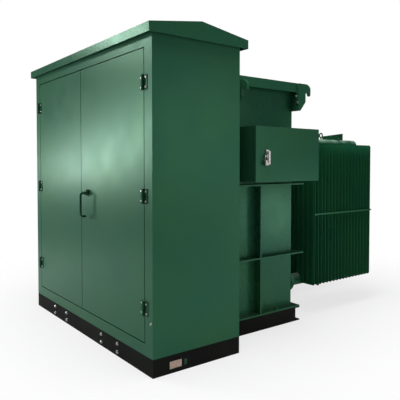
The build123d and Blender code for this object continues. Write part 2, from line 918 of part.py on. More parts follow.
def high_bushing(x):
    """A porcelain bushing for the high voltage: a flange, a core and its sheds, in one piece."""

    def disc(radius, start, end):
        ends = (x, rear_y - start, high_bushing_z), (x, rear_y - end, high_bushing_z)
        return many_sided_rod(radius, bushing_sides, *ends)

    body = disc(bushing_flange_radius, 0, bushing_flange_thick)
    body = body + disc(bushing_core_radius, 0, high_bushing_length())
    for index in range(bushing_shed_count):
        middle = bushing_flange_thick + (index + 0.6) * bushing_shed_pitch
        half = bushing_shed_thick / 2
        body = body + disc(bushing_shed_radius, middle - half, middle + half)
    return body


def high_bushing_length():
    """How far a high-voltage bushing stands out from the tank."""
    return bushing_flange_thick + bushing_shed_count * bushing_shed_pitch + bushing_tip


def high_stud(x):
    """The stud in a high-voltage bushing's tip that the cable is clamped to."""
    tip = rear_y - high_bushing_length()
    return rod(stud_radius, (x, tip, high_bushing_z), (x, tip - stud_length, high_bushing_z))


def low_bushing(x):
    """A short insulator for the low voltage."""
    ends = (x, rear_y, low_bushing_z), (x, rear_y - low_bushing_length, low_bushing_z)
    return many_sided_rod(low_bushing_radius, bushing_sides, *ends)


def low_spade(x):
    """The flat copper terminal of the low voltage, with two holes for the cable lug."""
    back = rear_y - low_bushing_length
    low = low_bushing_z - spade_width / 2
    front = back - spade_length
    bar = block(x - spade_thick / 2, x + spade_thick / 2, front, back, low, low + spade_width)
    for index in (0, 1):
        y = front + spade_hole_from_end + index * spade_hole_spacing
        ends = (x - spade_thick, y, low_bushing_z), (x + spade_thick, y, low_bushing_z)
        bar = bar - rod(spade_hole_radius, *ends)
    return bar


radiators = {"right": radiator_offset, "middle": 0.0, "left": -radiator_offset}
right_fixed, right_moving = door_hinges(door_seam_x, 1)
left_fixed, left_moving = door_hinges(-door_seam_x, -1)
box_fixed, box_moving = box_hinges()
side_sheet = cabinet_side()
right_rear_hook = rear_hook()
right_front_hook = front_hook()
plugs = [drain_plug(x) for x in radiators.values()] + [vent_plug(x) for x in radiators.values()]

os.makedirs("parts", exist_ok=True)

write("cabinet_base_frame", [cabinet_base()])
write("cabinet_front_frame", [cabinet_front_frame()])
write("cabinet_right_side", [side_sheet])
write("cabinet_left_side", [mirrored(side_sheet)])
write("cabinet_rear_wall", [cabinet_rear_wall()])
write("cabinet_roof", [cabinet_roof()])
write("compartment_barrier", [compartment_barrier()])
write("right_door", [door(split_x, door_seam_x)])
write("left_door", [door(-door_seam_x, split_x)])
write("door_hinges_frame_part", right_fixed + left_fixed)
write("right_hinges_door_part", right_moving)
write("left_hinges_door_part", left_moving)
write("door_handle_plate", [handle_plate()])
write("door_handle", [door_handle()])

write("tank_base_frame", [tank_base()])
write("tank_base_plate", [tank_base_plate()])
write("tank_body", [tank_body()])
write("tank_top_flange", [tank_top_flange()])
write("tank_cover", [tank_cover()])
write("tank_lower_band", [tank_band(lower_band_z)])
write("tank_upper_band", [tank_band(upper_band_z)])
write("tank_ribs", tank_ribs())
write("tank_rear_hooks", [right_rear_hook, mirrored(right_rear_hook)])
write("tank_front_hooks", [right_front_hook, mirrored(right_front_hook)])

write("control_box", [control_box()])
write("control_box_rails", box_rails())
write("control_box_door", [control_box_door()])
write("control_box_hinges_box_part", box_fixed)
write("control_box_hinges_door_part", box_moving)
write("control_box_latch", [box_latch()])
write("control_box_padlock", [box_padlock()])

for name, centre_x in radiators.items():
    write("radiator_panels_" + name, radiator_panels(centre_x))
    write("radiator_headers_" + name, radiator_headers(centre_x))
write("radiator_tie_bars", tie_bars())
write("radiator_lifting_lugs", [header_lug(x) for x in radiators.values()])
write("radiator_lifting_eyes", [header_eye(x) for x in radiators.values()])
write("radiator_plugs", plugs)

write("high_voltage_bushings", [high_bushing(x) for x in high_bushing_x])
write("high_voltage_studs", [high_stud(x) for x in high_bushing_x])
write("low_voltage_insulators", [low_bushing(x) for x in low_bushing_x])
write("low_voltage_terminals", [low_spade(x) for x in low_bushing_x])
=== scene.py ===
import json
import math

import bmesh
import bpy
from mathutils import Matrix, Quaternion, Vector

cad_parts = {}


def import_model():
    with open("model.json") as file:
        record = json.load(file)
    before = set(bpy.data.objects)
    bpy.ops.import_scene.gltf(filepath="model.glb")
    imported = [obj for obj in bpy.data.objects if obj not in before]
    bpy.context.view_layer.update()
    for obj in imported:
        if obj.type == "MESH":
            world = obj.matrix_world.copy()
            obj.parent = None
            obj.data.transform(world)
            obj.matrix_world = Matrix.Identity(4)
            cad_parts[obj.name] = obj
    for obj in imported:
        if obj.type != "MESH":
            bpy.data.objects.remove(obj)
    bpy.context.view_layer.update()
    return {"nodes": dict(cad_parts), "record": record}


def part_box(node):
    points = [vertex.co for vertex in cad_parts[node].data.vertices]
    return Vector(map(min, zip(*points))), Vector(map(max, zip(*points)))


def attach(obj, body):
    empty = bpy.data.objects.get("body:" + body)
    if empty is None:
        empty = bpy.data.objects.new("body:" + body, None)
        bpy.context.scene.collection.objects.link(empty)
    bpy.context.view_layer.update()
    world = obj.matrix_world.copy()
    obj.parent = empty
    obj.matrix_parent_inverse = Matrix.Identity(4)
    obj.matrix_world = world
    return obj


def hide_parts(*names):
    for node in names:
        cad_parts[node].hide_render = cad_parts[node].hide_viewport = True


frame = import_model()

# The looks of a pad-mounted power transformer in semi-gloss bottle green. Metres, in the frame
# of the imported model: +Z up, doors facing -Y, radiators at +Y.

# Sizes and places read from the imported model
cabinet_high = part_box("cabinet_base_frame")[1]
cabinet_right_x = cabinet_high.x
cabinet_back_y = cabinet_high.y
front_face_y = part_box("cabinet_front_frame")[0].y
tank_low, tank_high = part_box("tank_body")
base_plate_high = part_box("tank_base_plate")[1]
cover_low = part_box("tank_cover")[0]
box_low, box_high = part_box("control_box_door")
radiator_panel_low, radiator_panel_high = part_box("radiator_panels_right")
panel_width = radiator_panel_high.x - radiator_panel_low.x
panel_low_z = radiator_panel_low.z
panel_high_z = radiator_panel_high.z
radiator_offset = (radiator_panel_low.x + radiator_panel_high.x) / 2
radiator_x = (radiator_offset, 0.0, -radiator_offset)
header_tip_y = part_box("radiator_headers_right")[1].y

# Sizes of the part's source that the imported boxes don't give, and what follows from them
door_pin_x = 0.7845
hinge_heights = (0.357, 0.957, 1.558)
handle_x = 0.076
handle_z = 0.942
panel_count = 18
panel_thick = 0.011
panel_pitch = (radiator_panel_high.y - radiator_panel_low.y - panel_thick) / (panel_count - 1)
first_panel_y = radiator_panel_low.y + panel_thick / 2
rim_thick = 0.003
seam_width = 0.012
header_radius = 0.0445
header_heights = (0.247, 1.280)
flange_radius = 0.077
flange_start = tank_high.y + 0.047
flange_end = flange_start + 0.028
high_bushing_x = (-0.450, -0.300, -0.150)
high_bushing_z = 1.230
low_bushing_x = (0.110, 0.230, 0.350, 0.470)

# The narrow flutes that the radiator's panels have in the photograph
flute_count = 7
flute_gap = 0.007

# Ways to face
FRONT = (0.0, -1.0, 0.0)
RIGHT = (1.0, 0.0, 0.0)
BACK = (0.0, 1.0, 0.0)
UP = (0.0, 0.0, 1.0)
DOWN = (0.0, 0.0, -1.0)

# The world's light, and the share of the white background that shiny paint mirrors
AMBIENT = 0.28
GLOSSY_SHARE = 0.1

# Colours, as linear values
GREEN = (0.021, 0.105, 0.053)
GREEN_WARM = (0.026, 0.112, 0.048)
GREEN_COOL = (0.018, 0.097, 0.057)
BLACK = (0.006, 0.006, 0.006)
BLACK_DUST = (0.014, 0.014, 0.012)
# Dust colour; where a paint raises its dust amount, as the tank does, its upward faces also get a painted
# highlight
DUST = (0.10, 0.13, 0.09)
# A pale green painted highlight, laid by the dust mask on the radiator headers' upward faces
HEADER_HIGHLIGHT = (0.30, 0.44, 0.36)
SHEEN = (0.75, 1.0, 0.85, 1.0)


# Node helpers
def add_node(tree, kind, values=None, **settings):
    made = tree.nodes.new(kind)
    for key, value in settings.items():
        setattr(made, key, value)
    for key, value in (values or {}).items():
        made.inputs[key].default_value = value
    return made


def join(tree, source, target):
    tree.links.new(source, target)


def rgba(colour):
    return (colour[0], colour[1], colour[2], 1.0)


def add_socket(tree, label, kind, value=None, way="INPUT"):
    made = tree.interface.new_socket(label, in_out=way, socket_type="NodeSocket" + kind)
    if value is not None:
        made.default_value = value


# Shared shader groups
def paint_group():
    """Sprayed paint on sheet: slow shifts of hue, orange peel, and a slight unevenness of gloss."""
    hue_share = 0.7
    gloss_spread = 0.12
    tree = bpy.data.node_groups.new("sprayed_paint", "ShaderNodeTree")
    add_socket(tree, "Vector", "Vector")
    add_socket(tree, "Colour", "Color", rgba(GREEN))
    add_socket(tree, "Warm colour", "Color", rgba(GREEN_WARM))
    add_socket(tree, "Cool colour", "Color", rgba(GREEN_COOL))
    add_socket(tree, "Patch scale", "Float", 2.2)
    add_socket(tree, "Peel scale", "Float", 260.0)
    add_socket(tree, "Peel depth", "Float", 0.00002)
    add_socket(tree, "Wave depth", "Float", 0.0006)
    add_socket(tree, "Roughness", "Float", 0.3)
    add_socket(tree, "Colour", "Color", way="OUTPUT")
    add_socket(tree, "Roughness", "Float", way="OUTPUT")
    add_socket(tree, "Normal", "Vector", way="OUTPUT")
    start = add_node(tree, "NodeGroupInput")
    end = add_node(tree, "NodeGroupOutput")
    patch = add_node(tree, "ShaderNodeTexNoise", {"Detail": 2.0, "Roughness": 0.45})
    join(tree, start.outputs["Vector"], patch.inputs["Vector"])
    join(tree, start.outputs["Patch scale"], patch.inputs["Scale"])
    span = add_node(tree, "ShaderNodeMapRange", {"From Min": 0.3, "From Max": 0.7})
    join(tree, patch.outputs["Fac"], span.inputs["Value"])
    hues = add_node(tree, "ShaderNodeMix", data_type="RGBA")
    join(tree, span.outputs["Result"], hues.inputs["Factor"])
    join(tree, start.outputs["Cool colour"], hues.inputs["A"])
    join(tree, start.outputs["Warm colour"], hues.inputs["B"])
    blend = add_node(tree, "ShaderNodeMix", {"Factor": hue_share}, data_type="RGBA")
    join(tree, start.outputs["Colour"], blend.inputs["A"])
    join(tree, hues.outputs["Result"], blend.inputs["B"])
    join(tree, blend.outputs["Result"], end.inputs["Colour"])
    gloss = add_node(tree, "ShaderNodeTexNoise", {"Scale": 7.0, "Detail": 4.0})
    join(tree, start.outputs["Vector"], gloss.inputs["Vector"])
    shift = add_node(tree, "ShaderNodeMath", {1: 0.5}, operation="SUBTRACT")
    join(tree, gloss.outputs["Fac"], shift.inputs[0])
    scaled = add_node(tree, "ShaderNodeMath", {1: gloss_spread}, operation="MULTIPLY")
    join(tree, shift.outputs[0], scaled.inputs[0])
    rough = add_node(tree, "ShaderNodeMath", operation="ADD")
    join(tree, scaled.outputs[0], rough.inputs[0])
    join(tree, start.outputs["Roughness"], rough.inputs[1])
    join(tree, rough.outputs[0], end.inputs["Roughness"])
    wave = add_node(tree, "ShaderNodeTexNoise", {"Scale": 1.6, "Detail": 1.0})
    join(tree, start.outputs["Vector"], wave.inputs["Vector"])
    wave_bump = add_node(tree, "ShaderNodeBump", {"Strength": 1.0})
    join(tree, wave.outputs["Fac"], wave_bump.inputs["Height"])
    join(tree, start.outputs["Wave depth"], wave_bump.inputs["Distance"])
    peel = add_node(tree, "ShaderNodeTexNoise", {"Detail": 1.0})
    join(tree, start.outputs["Vector"], peel.inputs["Vector"])
    join(tree, start.outputs["Peel scale"], peel.inputs["Scale"])
    peel_bump = add_node(tree, "ShaderNodeBump", {"Strength": 1.0})
    join(tree, peel.outputs["Fac"], peel_bump.inputs["Height"])
    join(tree, start.outputs["Peel depth"], peel_bump.inputs["Distance"])
    join(tree, wave_bump.outputs["Normal"], peel_bump.inputs["Normal"])
    join(tree, peel_bump.outputs["Normal"], end.inputs["Normal"])
    return tree


def dust_and_highlight_group():
    """A mask of dust in broken spots: on what faces up, and in a low splash zone near the floor. Where a
    paint raises its amount, its upward faces get a painted highlight too.
    """
    tree = bpy.data.node_groups.new("settled_dust_and_highlight", "ShaderNodeTree")
    add_socket(tree, "Vector", "Vector")
    add_socket(tree, "Amount", "Float", 0.3)
    add_socket(tree, "Splash height", "Float", 0.14)
    add_socket(tree, "Mask", "Float", way="OUTPUT")
    start = add_node(tree, "NodeGroupInput")
    end = add_node(tree, "NodeGroupOutput")
    facing = add_node(tree, "ShaderNodeNewGeometry")
    normal = add_node(tree, "ShaderNodeSeparateXYZ")
    join(tree, facing.outputs["Normal"], normal.inputs[0])
    up = add_node(tree, "ShaderNodeMapRange", {"From Min": 0.2, "From Max": 0.95, "To Max": 0.8})
    join(tree, normal.outputs["Z"], up.inputs["Value"])
    place = add_node(tree, "ShaderNodeSeparateXYZ")
    join(tree, start.outputs["Vector"], place.inputs[0])
    splash = add_node(tree, "ShaderNodeMapRange", {"From Max": 0.0, "To Max": 0.45})
    join(tree, place.outputs["Z"], splash.inputs["Value"])
    join(tree, start.outputs["Splash height"], splash.inputs["From Min"])
    both = add_node(tree, "ShaderNodeMath", operation="MAXIMUM")
    join(tree, up.outputs["Result"], both.inputs[0])
    join(tree, splash.outputs["Result"], both.inputs[1])
    grit = add_node(tree, "ShaderNodeTexNoise", {"Scale": 9.0, "Detail": 8.0, "Roughness": 0.7})
    join(tree, start.outputs["Vector"], grit.inputs["Vector"])
    spots = add_node(tree, "ShaderNodeMapRange", {"From Min": 0.35, "From Max": 0.7})
    join(tree, grit.outputs["Fac"], spots.inputs["Value"])
    mask = add_node(tree, "ShaderNodeMath", operation="MULTIPLY")
    join(tree, both.outputs[0], mask.inputs[0])
    join(tree, spots.outputs["Result"], mask.inputs[1])
    amount = add_node(tree, "ShaderNodeMath", operation="MULTIPLY", use_clamp=True)
    join(tree, mask.outputs[0], amount.inputs[0])
    join(tree, start.outputs["Amount"], amount.inputs[1])
    join(tree, amount.outputs[0], end.inputs["Mask"])
    return tree


paint_tree = paint_group()
dust_and_highlight_tree = dust_and_highlight_group()


def new_material(name):
    made = bpy.data.materials.new(name)
    made.use_nodes = True
    shader = made.node_tree.nodes["Principled BSDF"]
    return made, made.node_tree, shader


def place_group(tree, group, values):
    made = tree.nodes.new("ShaderNodeGroup")
    made.node_tree = group
    for key, value in values.items():
        made.inputs[key].default_value = value
    return made


def painted(name, colours, roughness, dust, seed, specular=0.16, dust_and_highlight_colour=DUST, metal=0.25):
    """A paint material: base, warm and cool colours, with dust where it settles. With a raised amount or a
    pale colour, the same mask paints a highlight on upward faces.
    """
    made, tree, shader = new_material(name)
    place = add_node(tree, "ShaderNodeTexCoord")
    moved = add_node(tree, "ShaderNodeMapping", {"Location": (seed, seed * 0.7, -seed)})
    join(tree, place.outputs["Object"], moved.inputs["Vector"])
    paint = place_group(
        tree,
        paint_tree,
        {
            "Colour": rgba(colours[0]),
            "Warm colour": rgba(colours[1]),
            "Cool colour": rgba(colours[2]),
            "Roughness": roughness,
        },
    )
    join(tree, moved.outputs["Vector"], paint.inputs["Vector"])
    settled = place_group(tree, dust_and_highlight_tree, {"Amount": dust})
    join(tree, place.outputs["Object"], settled.inputs["Vector"])
    # Lays the dust colour where the mask falls; on the headers and the tank's tops this is partly a painted
    # highlight
    colour = add_node(tree, "ShaderNodeMix", {"B": rgba(dust_and_highlight_colour)}, data_type="RGBA")
    join(tree, settled.outputs["Mask"], colour.inputs["Factor"])
    join(tree, paint.outputs["Colour"], colour.inputs["A"])
    join(tree, colour.outputs["Result"], shader.inputs["Base Color"])
    rough = add_node(tree, "ShaderNodeMix", {"B": 0.75})
    join(tree, settled.outputs["Mask"], rough.inputs["Factor"])
    join(tree, paint.outputs["Roughness"], rough.inputs["A"])
    join(tree, rough.outputs["Result"], shader.inputs["Roughness"])
    join(tree, paint.outputs["Normal"], shader.inputs["Normal"])
    shader.inputs["Specular IOR Level"].default_value = specular
    shader.inputs["Specular Tint"].default_value = SHEEN
    shader.inputs["Metallic"].default_value = metal
    return made


def bare_metal(name, light, dark, roughness, scale):
    """Plated or turned metal with fine mottling and handling marks."""
    made, tree, shader = new_material(name)
    place = add_node(tree, "ShaderNodeTexCoord")
    mottle = add_node(tree, "ShaderNodeTexNoise", {"Scale": scale, "Detail": 6.0, "Roughness": 0.65})
    join(tree, place.outputs["Object"], mottle.inputs["Vector"])
    span = add_node(tree, "ShaderNodeMapRange", {"From Min": 0.3, "From Max": 0.7})
    join(tree, mottle.outputs["Fac"], span.inputs["Value"])
    colour = add_node(tree, "ShaderNodeMix", {"A": rgba(light), "B": rgba(dark)}, data_type="RGBA")
    join(tree, span.outputs["Result"], colour.inputs["Factor"])
    join(tree, colour.outputs["Result"], shader.inputs["Base Color"])
    rough = add_node(tree, "ShaderNodeMapRange", {"To Min": roughness - 0.08, "To Max": roughness + 0.12})
    join(tree, mottle.outputs["Fac"], rough.inputs["Value"])
    join(tree, rough.outputs["Result"], shader.inputs["Roughness"])
    bump = add_node(tree, "ShaderNodeBump", {"Strength": 0.4, "Distance": 0.0002})
    join(tree, mottle.outputs["Fac"], bump.inputs["Height"])
    join(tree, bump.outputs["Normal"], shader.inputs["Normal"])
    shader.inputs["Metallic"].default_value = 1.0
    return made


def porcelain():
    """Brown glazed porcelain with faint specks."""
    made, tree, shader = new_material("brown_porcelain")
    place = add_node(tree, "ShaderNodeTexCoord")
    specks = add_node(tree, "ShaderNodeTexNoise", {"Scale": 90.0, "Detail": 3.0})
    join(tree, place.outputs["Object"], specks.inputs["Vector"])
    colour = add_node(
        tree,
        "ShaderNodeMix",
        {"A": rgba((0.10, 0.032, 0.015)), "B": rgba((0.19, 0.07, 0.035))},
        data_type="RGBA",
    )
    join(tree, specks.outputs["Fac"], colour.inputs["Factor"])
    join(tree, colour.outputs["Result"], shader.inputs["Base Color"])
    shader.inputs["Roughness"].default_value = 0.16
    shader.inputs["Coat Weight"].default_value = 0.6
    shader.inputs["Coat Roughness"].default_value = 0.05
    return made


greens = (GREEN, GREEN_WARM, GREEN_COOL)
radiator_greens = tuple((0.5 * red, 0.85 * green, 0.7 * blue) for red, green, blue in greens)
hinge_greens = tuple(tuple(0.62 * part for part in colour) for colour in greens)
handle_greens = tuple(tuple(0.45 * part for part in colour) for colour in greens)
blacks = (BLACK, BLACK_DUST, BLACK)

# Each paint's name, colours, roughness, dust (partly a painted highlight where it is raised), seed, and what
# it has other than the rest
paint_rows = (
    ("cabinet_paint", greens, 0.34, 0.12, 1.0, {}),
    ("door_paint", greens, 0.34, 0.12, 2.3, {}),
    ("roof_paint", greens, 0.28, 0.08, 3.1, {}),
    # The tank's raised dust amount is partly dust, partly a painted highlight on the tops of its ledge and
    # bands
    ("tank_paint", greens, 0.27, 0.5, 4.7, {}),
    ("box_paint", greens, 0.3, 0.15, 5.9, {}),
    ("radiator_paint", radiator_greens, 0.3, 0.2, 6.4, {}),
    # The header paint's high dust amount in the pale highlight colour is a painted highlight on the pipes'
    # tops
    ("header_paint", radiator_greens, 0.3, 1.6, 6.9, {"dust_and_highlight_colour": HEADER_HIGHLIGHT}),
    ("hinge_paint", hinge_greens, 0.28, 0.1, 7.7, {}),
    ("handle_paint", handle_greens, 0.2, 0.0, 8.2, {"specular": 0.5}),
    ("black_paint", blacks, 0.6, 0.05, 9.6, {"specular": 0.05, "metal": 0.0}),
)
paints = {row[0]: painted(*row[:5], **row[5]) for row in paint_rows}
zinc = bare_metal("zinc_plate", (0.75, 0.75, 0.73), (0.45, 0.46, 0.46), 0.3, 120.0)
lock_steel = bare_metal("lock_steel", (0.62, 0.58, 0.55), (0.30, 0.24, 0.22), 0.35, 90.0)
tin = bare_metal("bare_tin", (0.66, 0.50, 0.41), (0.40, 0.28, 0.22), 0.45, 60.0)
brass = bare_metal("turned_brass", (0.72, 0.52, 0.22), (0.42, 0.29, 0.12), 0.32, 80.0)
copper = bare_metal("copper_bar", (0.80, 0.42, 0.25), (0.55, 0.26, 0.15), 0.35, 60.0)
glaze = porcelain()

# The record's material slots
slot_looks = dict(paints)
slot_looks.update(
    zinc_steel=zinc,
    padlock_steel=lock_steel,
    plug_paint=paints["handle_paint"],
    porcelain=glaze,
    terminal_brass=brass,
    terminal_copper=copper,
)


def dress_nodes():
    """Every CAD node gets the material of its slot in the record."""
    for row in frame["record"]["subparts"]:
        obj = frame["nodes"][row["node"]]
        look = slot_looks[row["material_slot"]]
        if not obj.material_slots:
            obj.data.materials.append(look)
        for slot in obj.material_slots:
            slot.material = look


# Bolts and screws, as one geometry nodes tree
def bolt_tree():
    """A washer and a head with a sloped rim on every point, facing its way and spun by chance."""
    rim_share = 0.72
    slope_share = 0.3
    most_spin = 1.05
    tree = bpy.data.node_groups.new("bolts_on_points", "GeometryNodeTree")
    add_socket(tree, "Geometry", "Geometry")
    add_socket(tree, "Head radius", "Float", 0.009)
    add_socket(tree, "Head height", "Float", 0.006)
    add_socket(tree, "Washer radius", "Float", 0.013)
    add_socket(tree, "Washer height", "Float", 0.002)
    add_socket(tree, "Sides", "Int", 6)
    add_socket(tree, "Seed", "Int", 3)
    add_socket(tree, "Material", "Material")
    add_socket(tree, "Geometry", "Geometry", way="OUTPUT")
    start = add_node(tree, "NodeGroupInput")
    end = add_node(tree, "NodeGroupOutput")

    def lifted(shape, height):
        move = add_node(tree, "GeometryNodeTransform")
        offset = add_node(tree, "ShaderNodeCombineXYZ")
        join(tree, height, offset.inputs["Z"])
        join(tree, offset.outputs[0], move.inputs["Translation"])
        join(tree, shape, move.inputs["Geometry"])
        return move.outputs["Geometry"]

    def figure(kind, first, second):
        made = add_node(tree, "ShaderNodeMath", operation=kind)
        for index, value in enumerate((first, second)):
            if isinstance(value, float):
                made.inputs[index].default_value = value
            else:
                join(tree, value, made.inputs[index])
        return made.outputs[0]

    washer = add_node(tree, "GeometryNodeMeshCylinder", {"Vertices": 20})
    join(tree, start.outputs["Washer radius"], washer.inputs["Radius"])
    join(tree, start.outputs["Washer height"], washer.inputs["Depth"])
    head = add_node(tree, "GeometryNodeMeshCylinder")
    join(tree, start.outputs["Sides"], head.inputs["Vertices"])
    join(tree, start.outputs["Head radius"], head.inputs["Radius"])
    join(tree, start.outputs["Head height"], head.inputs["Depth"])
    dome = add_node(tree, "GeometryNodeMeshCone")
    join(tree, start.outputs["Sides"], dome.inputs["Vertices"])
    join(tree, start.outputs["Head radius"], dome.inputs["Radius Bottom"])
    join(tree, figure("MULTIPLY", start.outputs["Head radius"], rim_share), dome.inputs["Radius Top"])
    join(tree, figure("MULTIPLY", start.outputs["Head height"], slope_share), dome.inputs["Depth"])
    washer_lift = figure("MULTIPLY", start.outputs["Washer height"], 0.5)
    half_head = figure("MULTIPLY", start.outputs["Head height"], 0.5)
    head_lift = figure("ADD", start.outputs["Washer height"], half_head)
    dome_lift = figure("ADD", start.outputs["Washer height"], start.outputs["Head height"])
    bolt = add_node(tree, "GeometryNodeJoinGeometry")
    join(tree, lifted(washer.outputs["Mesh"], washer_lift), bolt.inputs["Geometry"])
    join(tree, lifted(head.outputs["Mesh"], head_lift), bolt.inputs["Geometry"])
    join(tree, lifted(dome.outputs["Mesh"], dome_lift), bolt.inputs["Geometry"])
    facing = add_node(tree, "GeometryNodeInputNamedAttribute", {"Name": "facing"}, data_type="FLOAT_VECTOR")
    aim = add_node(tree, "FunctionNodeAlignRotationToVector", axis="Z")
    join(tree, facing.outputs["Attribute"], aim.inputs["Vector"])
    turn = add_node(tree, "FunctionNodeRandomValue", {"Max": most_spin}, data_type="FLOAT")
    join(tree, start.outputs["Seed"], turn.inputs["Seed"])
    spin = add_node(tree, "FunctionNodeAxisAngleToRotation")
    spin.inputs["Axis"].default_value = UP
    join(tree, turn.outputs["Value"], spin.inputs["Angle"])
    rotate = add_node(tree, "FunctionNodeRotateRotation", rotation_space="LOCAL")
    join(tree, aim.outputs["Rotation"], rotate.inputs["Rotation"])
    join(tree, spin.outputs["Rotation"], rotate.inputs["Rotate By"])
    copies = add_node(tree, "GeometryNodeInstanceOnPoints")
    join(tree, start.outputs["Geometry"], copies.inputs["Points"])
    join(tree, bolt.outputs["Geometry"], copies.inputs["Instance"])
    join(tree, rotate.outputs["Rotation"], copies.inputs["Rotation"])
    real = add_node(tree, "GeometryNodeRealizeInstances")
    join(tree, copies.outputs["Instances"], real.inputs["Geometry"])
    finish = add_node(tree, "GeometryNodeSetMaterial")
    join(tree, real.outputs["Geometry"], finish.inputs["Geometry"])
    join(tree, start.outputs["Material"], finish.inputs["Material"])
    join(tree, finish.outputs["Geometry"], end.inputs["Geometry"])
    return tree


bolts_on_points = bolt_tree()


def run_tree(obj, tree, values):
    """Put a geometry nodes tree on an object, and keep its result as the object's plain mesh."""
    modifier = obj.modifiers.new("made", "NODES")
    modifier.node_group = tree
    for item in tree.interface.items_tree:
        if item.item_type == "SOCKET" and item.in_out == "INPUT" and item.name in values:
            modifier[item.identifier] = values[item.name]
    graph = bpy.context.evaluated_depsgraph_get()
    mesh = bpy.data.meshes.new_from_object(obj.evaluated_get(graph), depsgraph=graph)
    obj.modifiers.clear()
    obj.data = mesh
    mesh.name = obj.name


def new_object(name, mesh):
    made = bpy.data.objects.new(name, mesh)
    bpy.context.scene.collection.objects.link(made)
    return made


def bolts(name, points, body, slot, **sizes):
    """One mesh of bolts on a body. Each point is a place and the way that the bolt faces."""
    mesh = bpy.data.meshes.new(name)
    mesh.from_pydata([place for place, way in points], [], [])
    facing = mesh.attributes.new("facing", "FLOAT_VECTOR", "POINT")
    for index, (place, way) in enumerate(points):
        facing.data[index].vector = way
    made = new_object(name, mesh)
    values = {"Material": slot_looks[slot]}
    values.update({key.replace("_", " ").capitalize(): value for key, value in sizes.items()})
    run_tree(made, bolts_on_points, values)
    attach(made, body)


def base_bolts():
    """Bolts in pairs along the front of the cabinet's base channel, where the photograph has them."""
    pairs_x = (-0.5005, -0.2855, 0.2625, 0.4735)
    pair_z = (0.026, 0.075)
    points = [((x, front_face_y, z), FRONT) for x in pairs_x for z in pair_z]
    sizes = {"head_radius": 0.0075, "head_height": 0.005, "washer_radius": 0.0105, "washer_height": 0.0018}
    bolts("base_bolts", points, "housing", "zinc_steel", **sizes)


def hinge_screws():
    """Two screws in each leaf of the six door hinges; each leaf's screws ride with its body."""
    parts = {"housing": [], "right_door": [], "left_door": []}
    from_pin = 0.023
    from_middle = 0.026
    leaf_thick = 0.003
    leaf_face = front_face_y - leaf_thick
    for z in hinge_heights:
        for side, door_body in ((1, "right_door"), (-1, "left_door")):
            for offset in (-from_middle, from_middle):
                parts["housing"].append(((side * (door_pin_x + from_pin), leaf_face, z + offset), FRONT))
                parts[door_body].append(((side * (door_pin_x - from_pin), leaf_face, z + offset), FRONT))
    sizes = {"head_radius": 0.0048, "head_height": 0.0026, "washer_radius": 0.0058, "washer_height": 0.001}
    for body, points in parts.items():
        bolts("hinge_screws_" + body, points, body, "zinc_steel", sides=10, **sizes)


def hook_bolts():
    """Bolt heads on the gussets of the rear hooks, on the side that faces the doors."""
    gusset_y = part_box("tank_rear_hooks")[0].y
    upper = (0.0575, 1.610)
    lower = (0.0710, 1.562)
    points = []
    for side in (1, -1):
        for from_tank, z in (upper, lower):
            points.append(((side * (tank_high.x + from_tank), gusset_y, z), FRONT))
    bolts("hook_bolts", points, "housing", "zinc_steel", head_radius=0.008, washer_radius=0.0095)


def ledge_bolts():
    """The bolts near the ledge's edge that hold the tank to its base."""
    inset = 0.012
    places_y = (0.777, 1.126)
    ledge_x = base_plate_high.x - inset
    points = [((side * ledge_x, y, base_plate_high.z), UP) for side in (1, -1) for y in places_y]
    sizes = {"head_radius": 0.0085, "head_height": 0.009, "washer_radius": 0.0115}
    bolts("ledge_bolts", points, "housing", "tank_paint", **sizes)


def cover_nuts():
    """The nuts of the tank's cover, under its flange and behind the skirt, which has a plain top."""
    reach = 0.025
    from_cabinet = 0.09
    side_count = 7
    back_count = 11
    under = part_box("tank_top_flange")[0].z
    start = cabinet_back_y + from_cabinet
    side_step = (tank_high.y - start) / (side_count - 1)
    back_step = 2 * tank_high.x / (back_count - 1)
    places = []
    for index in range(side_count):
        for side in (1, -1):
            places.append((side * (tank_high.x + reach), start + index * side_step))
    for index in range(back_count):
        places.append((tank_low.x + index * back_step, tank_high.y + reach))
    nuts = [((x, y, under), DOWN) for x, y in places]
    sizes = {"head_radius": 0.011, "head_height": 0.009, "washer_radius": 0.016, "washer_height": 0.003}
    bolts("cover_nuts", nuts, "housing", "tank_paint", **sizes)


def header_bolts():
    """Eight bolts through each pair of header flanges, with a head on one side and a nut on the other."""
    count = 8
    circle = 0.061
    points = []
    for x in radiator_x:
        for z in header_heights:
            for index in range(count):
                turn = math.radians((index + 0.5) * 360 / count)
                bolt_x = x + circle * math.cos(turn)
                bolt_z = z + circle * math.sin(turn)
                points.append(((bolt_x, flange_start, bolt_z), FRONT))
                points.append(((bolt_x, flange_end, bolt_z), BACK))
    sizes = {"head_radius": 0.0095, "head_height": 0.008, "washer_radius": 0.0125}
    bolts("header_bolts", points, "housing", "radiator_paint", **sizes)


def bushing_bolts():
    """Four clamp bolts on the flange of each high-voltage bushing."""
    count = 4
    circle = 0.047
    flange_thick = 0.014
    face_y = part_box("high_voltage_bushings")[1].y - flange_thick
    points = []
    for x in high_bushing_x:
        for index in range(count):
            turn = math.radians((index + 0.5) * 360 / count)
            bolt_z = high_bushing_z + circle * math.sin(turn)
            points.append(((x + circle * math.cos(turn), face_y, bolt_z), FRONT))
    bolts("bushing_bolts", points, "housing", "zinc_steel", head_radius=0.007, washer_radius=0.010)


# Turned, bent and boxed shapes
def ring_of_corners(shape, centre, radius, across, other, sides):
    """New corners in a ring about a centre, in the plane of two unit vectors."""
    ring = []
    for index in range(sides):
        turn = 2 * math.pi * index / sides
        away = math.cos(turn) * across + math.sin(turn) * other
        ring.append(shape.verts.new(centre + radius * away))
    return ring


